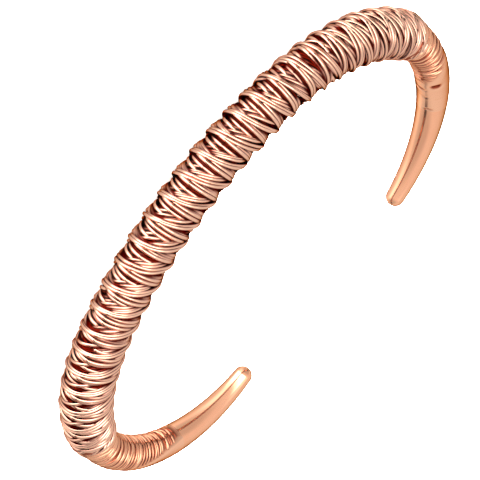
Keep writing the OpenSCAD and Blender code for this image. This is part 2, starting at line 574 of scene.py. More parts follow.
    def settle(self, press: Pressing) -> None:
        """Press the pile of wires in between the bar and the outside of the cuff.

        Wires that cross keep their places over and under each other, but the pile as a whole
        becomes even, with low knobs where most wires cross. The lowest wires go into the bar.

        Args:
            press: How it is pressed.
        """
        local = self.smooth_top(press.near_mm, press.near_deg)
        swell = local - self.smooth_top(press.far_mm, press.far_turns * TURN)
        proud = [w.r + w.radius - self.read(local, w.s, w.phi) for w in self.wires]
        level = np.percentile(np.concatenate(proud), press.top_percent)
        spread = press.swell_spread * swell[np.abs(swell) > 0].std()
        log.info("wires %.2f mm over the mean pile, which swells by %.2f mm", level, spread)
        for wire, over in zip(self.wires, proud):
            wire.deep = np.maximum(level - over, 0)
            under = press.keep * (level - over)
            limit = np.where(under > 0, press.most_under, press.most_over)
            under = limit * np.tanh(under / limit)
            rise = np.tanh(self.read(swell, wire.s, wire.phi) / spread)
            knob = self.axis.knob(wire.s) * np.maximum(rise, press.lowest_rise)
            low = self.axis.core(wire.s) + wire.radius * (1 - press.sunk)
            high = self.axis.outside(wire.s) + knob - wire.radius
            wire.r = np.maximum(low, high - under)
            self._tuck_ends(wire)

    def _tuck_ends(self, wire: Wire) -> None:
        """Let both ends of a wire dive into the bar.

        Args:
            wire: The wire.
        """
        edge = np.minimum(np.arange(len(wire.r)), np.arange(len(wire.r))[::-1])
        dive = np.clip(1 - edge * self.STEP_PHI / (TURN * self.END_TURN), 0, 1) ** 2
        wire.r = wire.r + (self.axis.core(wire.s) - wire.radius - wire.r) * dive


@dataclass(frozen=True)
class PolishedCopperBar:
    """Cast copper bar, ground and polished to a near mirror, with faint rubbing marks."""

    # Polish shows the studio as long soft bands. The thin brown line at the silhouette is partly the dark
    # card mirrored there and partly a painted dark reflection, from the brown edge tint at a grazing angle.
    name: str = "copper_cast_polished"
    colour: str = "FBBA95"
    warm: str = "F9B18A"
    edge: str = "665248"
    # Under its wire the bar is made matt and painted a dark red shade, so the gaps between the wires look
    # deep.
    painted_gap_shade: str = "5C170E"
    # Hand polishing leaves clouds of colour and gloss about as wide as one stroke. They move the
    # roughness between these shares of it.
    roughness: float = 0.14
    gloss_shares: tuple[float, float] = (0.8, 1.3)
    cloud_mm: float = 2.5
    # Real rubbing marks are some 0.02 mm apart. They are drawn at 0.12 mm, the width of a pixel.
    rub_mm: float = 0.12
    rub_depth_mm: float = 0.004
    rub_strength: float = 0.05

    def material(self) -> bpy.types.Material:
        """Build the finish: near mirror, with soft clouds of colour and roughness, and painted dark shade
        under the wire.

        Returns:
            The material.
        """
        made, tree, shader = new_finish(self.name, 1.0)
        # Painted dark reflection: at a grazing angle the bar's reflection takes the dark brown edge colour.
        shader.inputs["Specular Tint"].default_value = linear(self.edge)
        where = add_node(tree, "ShaderNodeTexCoord").outputs["Object"]
        cloud = add_node(tree, "ShaderNodeTexNoise",
                         {"Scale": per_metre(self.cloud_mm), "Detail": 3.0}, {"Vector": where})
        tint = add_node(tree, "ShaderNodeMix",
                        {"data_type": "RGBA", COLOUR_A: linear(self.colour), COLOUR_B: linear(self.warm)},
                        {"Factor": cloud.outputs["Fac"]})
        # Painted shade: where the wire covers the bar, the colour turns dark red and the roughness goes up
        # to matt.
        wound = add_node(tree, "ShaderNodeAttribute", {"attribute_name": "wound"}).outputs["Fac"]
        gap_shaded = add_node(tree, "ShaderNodeMix", {"data_type": "RGBA", COLOUR_B: linear(self.painted_gap_shade)},
                          {"Factor": wound, COLOUR_A: tint.outputs[COLOUR_OUT]})
        tree.links.new(gap_shaded.outputs[COLOUR_OUT], shader.inputs["Base Color"])
        least, most = (self.roughness * share for share in self.gloss_shares)
        gloss = add_node(tree, "ShaderNodeMapRange", {"To Min": least, "To Max": most},
                         {"Value": cloud.outputs["Fac"]})
        rough = add_node(tree, "ShaderNodeMath", {"operation": "MAXIMUM"},
                         {0: gloss.outputs["Result"], 1: wound})
        tree.links.new(rough.outputs[0], shader.inputs["Roughness"])
        rub = add_node(tree, "ShaderNodeTexNoise",
                       {"Scale": per_metre(self.rub_mm), "Detail": 2.0}, {"Vector": where})
        bump = add_node(tree, "ShaderNodeBump",
                        {"Strength": self.rub_strength, "Distance": self.rub_depth_mm * MM},
                        {"Height": rub.outputs["Fac"]})
        tree.links.new(bump.outputs["Normal"], shader.inputs["Normal"])
        return made


@dataclass(frozen=True)
class DrawnCopperWire:
    """Copper wire drawn through a die and polished, with painted shade on its sides and where it lies deep
    in the winding.
    """

    # Drawn wire has a narrow bright line along its crown. Its sides and the wires deep in the winding are
    # painted a deep warm red shade, which stands for light that goes from wire to wire and comes back
    # redder each time.
    name: str = "copper_wire_drawn"
    # The painted shade runs from crown, the wire's colour at its top, through body to the darkest red.
    crown: str = "EDBCA1"
    body: str = "E8B098"
    hollow: str = "540D05"
    body_at: float = 0.35
    # At a grazing angle the wire's colour is darkened by this one: a painted dark outline at its
    # silhouette.
    edge: str = "94786C"
    # The die lines move the roughness between these shares of it.
    roughness: float = 0.07
    gloss_shares: tuple[float, float] = (0.7, 1.5)
    # Real die lines are some 0.01 mm apart. They are drawn at 0.05 mm, which just breaks up the
    # bright line, and each one runs on for millimetres along the wire.
    die_line_mm: float = 0.05
    die_line_long_mm: float = 2.0
    die_line_depth_mm: float = 0.01
    die_line_strength: float = 0.15

    def material(self) -> bpy.types.Material:
        """Build the finish: bright crowns with die lines along the wire, and painted warm dark shade on its
        sides and in the hollows.

        Returns:
            The material.
        """
        made, tree, shader = new_finish(self.name, 1.0)
        # Painted shade: the point values move the colour from the crown's down to the dark red.
        hollow = add_node(tree, "ShaderNodeAttribute", {"attribute_name": "hollow"}).outputs["Fac"]
        tint = add_node(tree, "ShaderNodeValToRGB", None, {0: hollow})
        tint.color_ramp.elements[0].color = linear(self.crown)
        tint.color_ramp.elements[1].color = linear(self.hollow)
        tint.color_ramp.elements.new(self.body_at).color = linear(self.body)
        tree.links.new(tint.outputs["Color"], shader.inputs["Base Color"])
        # Painted dark outline: at a grazing angle the reflection takes the wire's colour darkened by edge.
        rim = add_node(tree, "ShaderNodeMix",
                       {"data_type": "RGBA", "blend_type": "MULTIPLY", "Factor": 1.0,
                        COLOUR_B: linear(self.edge)},
                       {COLOUR_A: tint.outputs["Color"]})
        tree.links.new(rim.outputs[COLOUR_OUT], shader.inputs["Specular Tint"])
        along = add_node(tree, "ShaderNodeAttribute", {"attribute_name": "wire_mm"}).outputs["Vector"]
        squash = add_node(tree, "ShaderNodeMapping",
                          {"Scale": (1 / self.die_line_long_mm, 1 / self.die_line_mm, 1)},
                          {"Vector": along})
        lines = add_node(tree, "ShaderNodeTexNoise", {"Scale": 1.0, "Detail": 2.0},
                         {"Vector": squash.outputs["Vector"]})
        least, most = (self.roughness * share for share in self.gloss_shares)
        gloss = add_node(tree, "ShaderNodeMapRange", {"To Min": least, "To Max": most},
                         {"Value": lines.outputs["Fac"]})
        tree.links.new(gloss.outputs["Result"], shader.inputs["Roughness"])
        bump = add_node(tree, "ShaderNodeBump",
                        {"Strength": self.die_line_strength, "Distance": self.die_line_depth_mm * MM},
                        {"Height": lines.outputs["Fac"]})
        tree.links.new(bump.outputs["Normal"], shader.inputs["Normal"])
        return made


@dataclass(frozen=True)
class PaperFloor:
    """Uncoated white paper sweep that the cuff lies on."""

    # Uncoated paper scatters its light: a pale even ground with soft shadows and no mirror image.
    name: str = "paper_matt_white"
    colour: str = "F7F4F1"
    roughness: float = 0.9
    specular_level: float = 0.1
    # The tooth is the width of a bundle of paper fibres.
    fibre_mm: float = 0.4
    fibre_depth_mm: float = 0.02
    fibre_strength: float = 0.02

    def material(self) -> bpy.types.Material:
        """Build the finish: plain and matt, with a faint paper tooth.

        Returns:
            The material.
        """
        made, tree, shader = new_finish(self.name, 0.0)
        shader.inputs["Base Color"].default_value = linear(self.colour)
        shader.inputs["Roughness"].default_value = self.roughness
        shader.inputs["Specular IOR Level"].default_value = self.specular_level
        where = add_node(tree, "ShaderNodeTexCoord").outputs["Object"]
        tooth = add_node(tree, "ShaderNodeTexNoise", {"Scale": per_metre(self.fibre_mm)},
                         {"Vector": where})
        bump = add_node(tree, "ShaderNodeBump",
                        {"Strength": self.fibre_strength, "Distance": self.fibre_depth_mm * MM},
                        {"Height": tooth.outputs["Fac"]})
        tree.links.new(bump.outputs["Normal"], shader.inputs["Normal"])
        return made


class MeshMaker:
    """Gathers rings of points into one smooth mesh."""

    def __init__(self, name: str) -> None:
        """Start an empty mesh.

        Args:
            name: The piece's name.
        """
        self.name = name
        self.points: list[np.ndarray] = []
        self.faces: list[np.ndarray] = []
        self.values: dict[str, list[np.ndarray]] = {}
        self.count = 0

    def add_tube(self, rings: np.ndarray, capped: bool = True, **values: np.ndarray) -> None:
        """Add a tube through rings of points.

        Args:
            rings: Points in millimetres, by ring, place round the ring and coordinate.
            capped: Whether each end is closed with a point in the middle of its ring. If not,
                the last ring is joined to the first.
            values: Values of the points by attribute name, in the same order.
        """
        number, sides = rings.shape[:2]
        total = number * sides
        row = np.arange(number - capped)[:, None] * sides
        a, b = row + np.arange(sides), row + (np.arange(sides) + 1) % sides
        quads = np.stack([a, b, (b + sides) % total, (a + sides) % total], -1).reshape(-1, 4)
        self.faces.append(quads + self.count)
        self.points.append(rings.reshape(-1, 3))
        for name, value in values.items():
            self.values.setdefault(name, []).append(value.reshape(total, -1))
        if capped:
            self._add_caps(rings, values)
        self.count += total + 2 * capped

    def _add_caps(self, rings: np.ndarray, values: dict[str, np.ndarray]) -> None:
        """Close both ends of the tube that is being added.

        A cap's triangles are kept as rows of four corners, like the quads, with -1 for the last.

        Args:
            rings: The tube's points.
            values: Their values by attribute name.
        """
        number, sides = rings.shape[:2]
        total = number * sides
        turn = np.arange(sides)
        after = (turn + 1) % sides
        last = total - sides
        for corners in ((after, turn, 0 * turn + total), (turn + last, after + last, 0 * turn + total + 1)):
            triangles = np.stack(corners, 1) + self.count
            self.faces.append(np.column_stack([triangles, np.full(sides, -1)]))
        self.points.append(np.stack([rings[0].mean(0), rings[-1].mean(0)]))
        for name, value in values.items():
            flat = value.reshape(total, -1)
            self.values[name].append(np.vstack([flat[:1], flat[-1:]]))

    def build(self) -> bpy.types.Object:
        """Make the object, in metres. Points under the floor are brought up to it.

        Returns:
            The new object, linked to the scene.
        """
        points = np.vstack(self.points) * MM
        points[:, 2] = np.maximum(points[:, 2], 0)
        faces = np.vstack(self.faces)
        sizes = np.where(faces[:, 3] < 0, 3, 4)
        corners = faces.ravel()[faces.ravel() >= 0]
        mesh = bpy.data.meshes.new(self.name)
        mesh.vertices.add(len(points))
        mesh.vertices.foreach_set("co", points.astype(np.float32).ravel())
        mesh.loops.add(len(corners))
        mesh.loops.foreach_set("vertex_index", corners.astype(np.int32))
        mesh.polygons.add(len(sizes))
        mesh.polygons.foreach_set("loop_start", np.r_[0, np.cumsum(sizes)[:-1]].astype(np.int32))
        mesh.polygons.foreach_set("use_smooth", np.ones(len(sizes), bool))
        for name, parts in self.values.items():
            stacked = np.vstack(parts)
            kind, key = ("FLOAT", "value") if stacked.shape[1] == 1 else ("FLOAT_VECTOR", "vector")
            attribute = mesh.attributes.new(name, kind, "POINT")
            attribute.data.foreach_set(key, stacked.astype(np.float32).ravel())
        mesh.update(calc_edges=True)
        mesh.validate()
        made = bpy.data.objects.new(self.name, mesh)
        bpy.context.scene.collection.objects.link(made)
        return made


def finish_piece(piece: bpy.types.Object, node: str,
                 material: bpy.types.Material) -> bpy.types.Object:
    """Let a piece stand for a CAD node, ride on the cuff and take its finish.

    Args:
        piece: The new piece.
        node: The CAD node that it stands for.
        material: Its finish.

    Returns:
        The piece.
    """
    piece.data.materials.append(material)
    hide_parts(node)
    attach(piece, ROOT)
    log.info("%s: %d points, %d faces", piece.name, len(piece.data.vertices),
             len(piece.data.polygons))
    return piece


@dataclass
class CuffBar:
    """The round bar: two bare tapered arms with domed tips, stepped down a little under its wire.

    neck is the length of each step down. crisp is the width of the last ring before it, which
    keeps the arm's shading smooth up to its end. Lengths are in millimetres, angles in degrees.
    """

    axis: CuffAxis
    neck: float = 0.5
    crisp: float = 0.01
    sides: int = 72
    step: float = 0.6
    dome_from: float = 4.0
    dome_to: float = 88.0
    dome_rings: int = 12

    def _arm(self, bare: float) -> tuple[np.ndarray, np.ndarray]:
        """Stations of a domed tip and its bare arm.

        Args:
            bare: Length of the arm.

        Returns:
            Distances from its own tip, and radii.
        """
        tip = self.axis.thickness.outside[0]
        angle = np.radians(np.linspace(self.dome_from, self.dome_to, self.dome_rings))
        along = np.r_[np.arange(0, bare, self.step), bare - self.crisp, bare]
        return np.r_[-tip * np.cos(angle), along], np.r_[tip * np.sin(angle), self.axis.outside(along)]

    def build(self) -> bpy.types.Object:
        """Make the bar's mesh.

        Returns:
            The piece.
        """
        start = self.axis.left_bare + self.neck
        end = self.axis.length - self.axis.right_bare - self.neck
        middle = np.arange(start, end, self.step)
        left_s, left_r = self._arm(self.axis.left_bare)
        right_s, right_r = self._arm(self.axis.right_bare)
        s = np.r_[left_s, middle, (self.axis.length - right_s)[::-1]]
        r = np.r_[left_r, self.axis.core(middle), right_r[::-1]]
        phi = -np.arange(self.sides) * TURN / self.sides
        every_s, every_phi = np.repeat(s, self.sides), np.tile(phi, len(s))
        rings = self.axis.place(every_s, every_phi, np.repeat(r, self.sides))
        # The stretch under the winding, which gets the painted dark shade.
        wound = ((every_s > start) & (every_s < end)).astype(float)
        maker = MeshMaker("cuff_bar_polished")
        maker.add_tube(rings.reshape(len(s), self.sides, 3), wound=wound)
        return finish_piece(maker.build(), "cuff_bar",
                            PolishedCopperBar().material())


@dataclass(frozen=True)
class WireSkin:
    """How a laid wire is given its round surface.

    dark_at holds the depths, in millimetres under the top of the pile, at which its painted shade
    starts and is quite dark. Its sides get painted shade too, where the cosine of the angle from its
    crown falls from flank_from by flank_span. Its last rings are drawn in to end_share of its radius.
    """

    dark_at: tuple[float, float]
    sides: int = 8
    flank_from: float = 0.84
    flank_span: float = 0.55
    end_share: float = 0.5

    def add(self, maker: MeshMaker, axis: CuffAxis, wire: Wire) -> None:
        """Add one wire to a mesh as a round tube with closed, rounded ends.

        Args:
            maker: The mesh.
            axis: The cuff's middle line.
            wire: The wire.
        """
        points = axis.place(wire.s, wire.phi, wire.r)
        middle, _ = axis.basis(wire.s)
        run = np.gradient(points, axis=0)
        run /= np.linalg.norm(run, axis=1)[:, None]
        up = points - middle
        up -= (up * run).sum(1)[:, None] * run
        up /= np.linalg.norm(up, axis=1)[:, None]
        side = np.cross(run, up)
        angle = np.arange(self.sides) * 2 * math.pi / self.sides
        shrink = np.ones(len(points))
        shrink[[0, -1]] = self.end_share
        reach = (wire.radius * shrink)[:, None, None]
        rings = points[:, None] + reach * (np.cos(angle)[None, :, None] * up[:, None]
                                           + np.sin(angle)[None, :, None] * side[:, None])
        walked = np.r_[0, np.cumsum(np.linalg.norm(np.diff(points, axis=0), axis=1))]
        around = angle[None, :] * wire.radius[:, None]
        wire_mm = np.stack(np.broadcast_arrays(walked[:, None], around, 0 * around), -1)
        # Painted shade: darker the deeper the wire lies under the top of the pile, and on its sides.
        first, full = self.dark_at
        shade = np.clip((wire.deep - first) / (full - first), 0, 1)
        flank = np.clip((self.flank_from - np.cos(angle)) / self.flank_span, 0, 1)
        hollow = np.clip(shade[:, None] + flank[None, :], 0, 1)
        maker.add_tube(rings, hollow=hollow, wire_mm=wire_mm)


class Reach(Enum):
    """How far along the cuff a wire of the winding runs."""

    WHOLE = "whole"
    ENDS = "both ends"
    LEFT = "left end"


@dataclass(frozen=True)
class Layer:
    """One step of the winding: a wire of a family, and where it passes the marked angle."""

    family: Family
    offset: float
    reach: Reach = Reach.WHOLE


@dataclass
class Winding:
    """The crosswise winding: upright wires and leaning wires laid in turn, over and under.

    The pattern comes back every period, counted from mark. Wires start and stop margin from the
    tips. Those that run at an end only reach end_reach from its tip, less end_step for each
    millimetre of their offset, so that they don't stop together. crowd_at says where, by the
    distance from the left tip, the families are pushed along the bar as the moved tables say.
    """

    axis: CuffAxis
    period: float = 3.02
    mark: float = 76.42
    seed: int = 3
    margin: float = 32.2
    end_reach: float = 62.0
    end_step: float = 4.5
    skin: WireSkin = WireSkin(dark_at=(0.34, 0.80))
    press: Pressing = Pressing()
    lays: tuple[Lay, ...] = (
        Lay(Family.UPRIGHT, advance=3.02, tilt=-0.668, tilt_at=70.0, wander=0.07),
        Lay(Family.LEANING, advance=-6.04, tilt=-0.45, tilt_at=60.0, wander=0.08, gauge=0.85),
        Lay(Family.ARCHING, advance=-6.04, tilt=-0.65, tilt_at=133.0, wander=0.08, gauge=0.9),
    )
    layers: tuple[Layer, ...] = (
        Layer(Family.UPRIGHT, 1.25), Layer(Family.LEANING, 1.20), Layer(Family.UPRIGHT, 2.95),
        Layer(Family.LEANING, 1.70), Layer(Family.LEANING, 0.60, Reach.ENDS),
        Layer(Family.UPRIGHT, 2.28), Layer(Family.LEANING, 2.15), Layer(Family.UPRIGHT, 1.58),
        Layer(Family.LEANING, 2.50), Layer(Family.LEANING, 2.80), Layer(Family.UPRIGHT, 0.03),
        Layer(Family.UPRIGHT, 0.33), Layer(Family.UPRIGHT, 2.25, Reach.ENDS),
        Layer(Family.LEANING, 0.10, Reach.ENDS), Layer(Family.LEANING, 1.80, Reach.ENDS),
        Layer(Family.LEANING, 2.33, Reach.LEFT), Layer(Family.LEANING, 3.08, Reach.LEFT),
        Layer(Family.ARCHING, 1.05, Reach.LEFT), Layer(Family.ARCHING, 0.75, Reach.LEFT),
        Layer(Family.UPRIGHT, 1.30, Reach.ENDS), Layer(Family.UPRIGHT, 0.48),
        Layer(Family.UPRIGHT, 0.90), Layer(Family.ARCHING, 3.15), Layer(Family.ARCHING, 3.45),
    )
    sway: tuple[float, float] = (6, 0.04)
    swing: tuple[float, float] = (8, 0.1)
    crowd_at: tuple[float, ...] = tuple(range(47, 105, 3))
    upright_moved: tuple[float, ...] = (.05, -.05, -.15, -.6, -.35, -.3, -.45, -.45, -.1, 0,
                                        .2, .35, .5, .8, .9, 1.0, .9, .55, .2, -.2)
    leaning_moved: tuple[float, ...] = (.1, -.3, -.55, -.75, -.7, -.7, -.6, -.45, -.35, -.3,
                                        -.05, .05, .4, .35, .5, .5, .6, .25, -.1, -.4)

    def _spans(self, layer: Layer) -> tuple[tuple[float, float], ...]:
        """Where a layer's wires run.

        Args:
            layer: The layer.

        Returns:
            The start and end of each stretch, as distances from the left tip.
        """
        length = self.axis.length
        if layer.reach is Reach.WHOLE:
            return ((self.margin, length - self.margin),)
        reach = self.end_reach - self.end_step * layer.offset
        ends = ((self.margin, reach), (length - reach, length - self.margin))
        return ends if layer.reach is Reach.ENDS else ends[:1]

    def wind(self) -> Winder:
        """Lay all the wires, the first ones at the bottom.

        Returns:
            The winder with its wires bedded down.
        """
        winder = Winder(self.axis, self.seed)
        upright = winder.common(self.sway, self.swing, (self.crowd_at, self.upright_moved))
        leaning = winder.common(self.sway, self.swing, (self.crowd_at, self.leaning_moved))
        lays = {lay.family: lay for lay in self.lays}
        for layer in self.layers:
            lay = lays[layer.family]
            together = upright if layer.family is Family.UPRIGHT else leaning
            for start in range(round(abs(lay.advance) / self.period)):
                place = self.mark + layer.offset + start * self.period
                for span in self._spans(layer):
                    winder.lay_wire(lay, *winder.route(lay, place, span, together))
        winder.settle(self.press)
        return winder

    def build(self) -> list[bpy.types.Object]:
        """Make the two pieces of the winding.

        Returns:
            The upright wires and the leaning wires.
        """
        winder = self.wind()
        made = []
        finish = DrawnCopperWire().material()
        for upright, name, node in ((True, "upright_wires", "inner_band"),
                                    (False, "leaning_wires", "outer_band")):
            maker = MeshMaker(name)
            for wire in winder.wires:
                if (wire.lay.family is Family.UPRIGHT) == upright:
                    self.skin.add(maker, self.axis, wire)
            made.append(finish_piece(maker.build(), node, finish))
        return made


@dataclass(frozen=True)
class Crease:
    """A short dent left in the smooth sleeve, where a turn of wire ends, with painted shade in it.

    It lies at a distance from the arm's tip and an angle round it, with half its length along
    the bar in millimetres, half its length round the bar in degrees, and its depth.
    """

    from_tip: float
    phi: float
    half_mm: float
    half_deg: float
    depth: float


class Side(Enum):
    """The two arms of the cuff."""

    LEFT = "left"
    RIGHT = "right"


@dataclass
class EndWrap:
    """Close turns of fine wire, pressed into a smooth sleeve that runs out to the bare arm.

    The relief has gone at gone_mid from the arm's tip, give or take gone_swing on the outer and
    inner sides, and fades in over fade_len. The sleeve's valleys lie valley under the outside,
    and the lowest wires pressed under it. All in millimetres.
    """

    axis: CuffAxis
    side: Side
    gone_mid: float
    gone_swing: float
    fade_len: float
    creases: tuple[Crease, ...] = ()
    wrap_end: float = 34.0
    valley: float = 0.26
    pressed: float = 0.16
    # The wires: their lays, and the lay and offset of each wire in the order of winding.
    lays: tuple[Lay, ...] = (Lay(Family.CLOSE, advance=1.16, tilt=0.42, tilt_at=40.0, wander=0.1),
                             Lay(Family.CLOSE, advance=1.16, tilt=-0.38, tilt_at=75.0, wander=0.1))
    layers: tuple[tuple[int, float], ...] = ((0, 0.0), (1, 0.3), (0, 0.58), (1, 0.88))
    sway: tuple[float, float] = (4, 0.05)
    swing: tuple[float, float] = (5, 0.3)
    seed: int = 11
    skin: WireSkin = WireSkin(dark_at=(0.04, 0.20))
    # Where the wires start inside the bare end, how far they sink where the relief has gone, the
    # fade from which they don't show, the fewest points that are drawn, and the top of the pile.
    start_gap: float = 0.6
    faded_sink: float = 0.04
    gone_fade: float = 0.93
    fewest_points: int = 7
    top_percent: float = 95.0
    # The sleeve's mesh: its places round the bar, its rows, every how many rows the inside has
    # one, and a first crisp ring that keeps the shading smooth up to its edge.
    columns: int = 96
    row_mm: float = 0.14
    inner_step: int = 10
    crisp: float = 0.01
    # How far it laps over the bare arm, how its edge is tucked, and how far over the bar it stays.
    lap: float = 0.03
    tuck_depth: float = 0.003
    tuck_len: float = 0.15
    least_cover: float = 0.02
    inner_cover: float = 0.01
    # Painted shade on the sleeve: the depths at which it starts to darken and over which it deepens, and
    # the depth at which a crease is painted dark.
    dark_from: float = 0.08
    dark_span: float = 0.25
    crease_dark: float = 0.16

    @property
    def bare(self) -> float:
        """Length of the bare arm on this side."""
        return self.axis.left_bare if self.side is Side.LEFT else self.axis.right_bare

    def fade(self, s: np.ndarray, phi: np.ndarray) -> np.ndarray:
        """Share of the relief that is pressed flat.

        Args:
            s: Distances from the left tip.
            phi: Angles round the bar, in degrees.

        Returns:
            0 at the winding, up to 1 at the bare arm.
        """
        gone = self.gone_mid + self.gone_swing * np.cos(np.radians(phi))
        raw = np.clip((gone + self.fade_len - self.axis.from_tip(s)) / self.fade_len, 0, 1)
        return raw * raw * (3 - 2 * raw)

    def station(self, from_tip: np.ndarray) -> np.ndarray:
        """Distance from the left tip, for a distance from this arm's own tip."""
        return from_tip if self.side is Side.LEFT else self.axis.length - from_tip

    def dents(self, d: np.ndarray, phi: np.ndarray) -> np.ndarray:
        """Depth of the creases.

        Args:
            d: Distances from the arm's tip.
            phi: Angles round the bar, in degrees.

        Returns:
            The depth at each place.
        """
        dent = np.zeros(len(d))
        for crease in self.creases:
            along = (d - crease.from_tip) / crease.half_mm
            around = ((phi - crease.phi + TURN / 2) % TURN - TURN / 2) / crease.half_deg
            dent = np.maximum(dent, crease.depth * np.exp(-along ** 2 - around ** 2))
        return dent

    def sleeve(self, maker: MeshMaker) -> None:
        """Add the smooth sleeve that the wires are pressed into.

        Args:
            maker: The mesh.
        """
        rows = np.arange(self.bare - self.lap, self.wrap_end, self.row_mm)
        rows = np.r_[rows[0] - self.crisp, rows]
        phi = np.arange(self.columns) * TURN / self.columns
        d, phi = np.repeat(rows, self.columns), np.tile(phi, len(rows))
        s = self.station(d)
        dent = self.dents(d, phi)
        tuck = self.tuck_depth * np.exp(-((d - self.bare) / self.tuck_len) ** 2)
        drop = self.valley * (1 - self.fade(s, phi)) + dent + tuck
        r = np.maximum(self.axis.outside(s) - drop, self.axis.core(s) + self.least_cover)
        shape = (len(rows), self.columns)
        inner = np.arange(len(rows))[::-self.inner_step]
        inner_s, inner_phi = s.reshape(shape)[inner].ravel(), phi.reshape(shape)[inner].ravel()
        outer_points = self.axis.place(s, phi, r).reshape(*shape, 3)
        inner_points = self.axis.place(inner_s, inner_phi, self.axis.core(inner_s) + self.inner_cover)
        # Painted shade: the sleeve is darker where it lies lower and in its creases.
        hollow = np.clip((drop - self.dark_from) / self.dark_span + dent / self.crease_dark, 0, 1)
        hollow = hollow.reshape(shape)
        wire_mm = np.stack([np.radians(phi) * r, d, 0 * d], -1).reshape(*shape, 3)
        every = [np.concatenate([outer_points, inner_points.reshape(len(inner), self.columns, 3)]),
                 np.concatenate([hollow, hollow[inner]]),
                 np.concatenate([wire_mm, wire_mm[inner]])]
        if self.side is Side.LEFT:
            every = [value[::-1] for value in every]
        maker.add_tube(every[0], capped=False, hollow=every[1], wire_mm=every[2])

    def wires(self) -> list[Wire]:
        """Wind the close turns and press them into the sleeve.

        Returns:
            The wires.
        """
        winder = Winder(self.axis, self.seed + (self.side is Side.RIGHT))
        common = winder.common(self.sway, self.swing)
        low, high = sorted((float(self.station(self.bare + self.start_gap)),
                            float(self.station(self.wrap_end))))
        for index, offset in self.layers:
            lay = self.lays[index]
            winder.lay_wire(lay, *winder.route(lay, low + offset, (low, high), common))
        free = np.concatenate([w.r - self.axis.core(w.s) - w.radius for w in winder.wires])
        full = np.percentile(free, self.top_percent)
        for wire in winder.wires:
            sink = self.pressed * (1 - winder.share(wire, full))
            wire.deep = sink + self.faded_sink * self.fade(wire.s, wire.phi)
            wire.r = self.axis.outside(wire.s) - wire.radius - wire.deep
        return winder.wires

    def build(self) -> bpy.types.Object:
        """Make the piece.

        Returns:
            The sleeve and the parts of the wires that stand out of it, as one piece.
        """
        name = f"{self.side.value}_end_wrap"
        maker = MeshMaker(f"{name}_wires")
        self.sleeve(maker)
        for wire in self.wires():
            shows = self.fade(wire.s, wire.phi) < self.gone_fade
            edges = np.flatnonzero(np.diff(np.r_[False, shows, False].astype(int)))
            for start, end in edges.reshape(-1, 2):
                if end - start >= self.fewest_points:
                    self.skin.add(maker, self.axis, wire.part(slice(start, end)))
        # The pressed wire's painted shade is a lighter red, and its painted dark outline fainter.
        finish = DrawnCopperWire(name="copper_wire_pressed", crown="F6BA97", body="E6A280",
                                 hollow="8E3C26", edge="BCA69C", roughness=0.13)
        return finish_piece(maker.build(), name, finish.material())


class Way(Enum):
    """Directions in which the studio's brightness is measured."""

    UP = "up"
    ACROSS = "across"
    CARD = "card"
    STRIP = "strip"


@dataclass(frozen=True)
class Fade:
    """Brightness that changes from low to high as the look turns towards a way.

    start and end are the cosines of the angle from the way between which it changes.
    """

    way: Way
    start: float
    end: float
    low: float
    high: float


@dataclass(frozen=True)
class Softbox:
    """A square softbox that faces the cuff: its place and side in metres, and its power."""

    name: str
    place: tuple[float, float, float]
    size: float
    watts: float


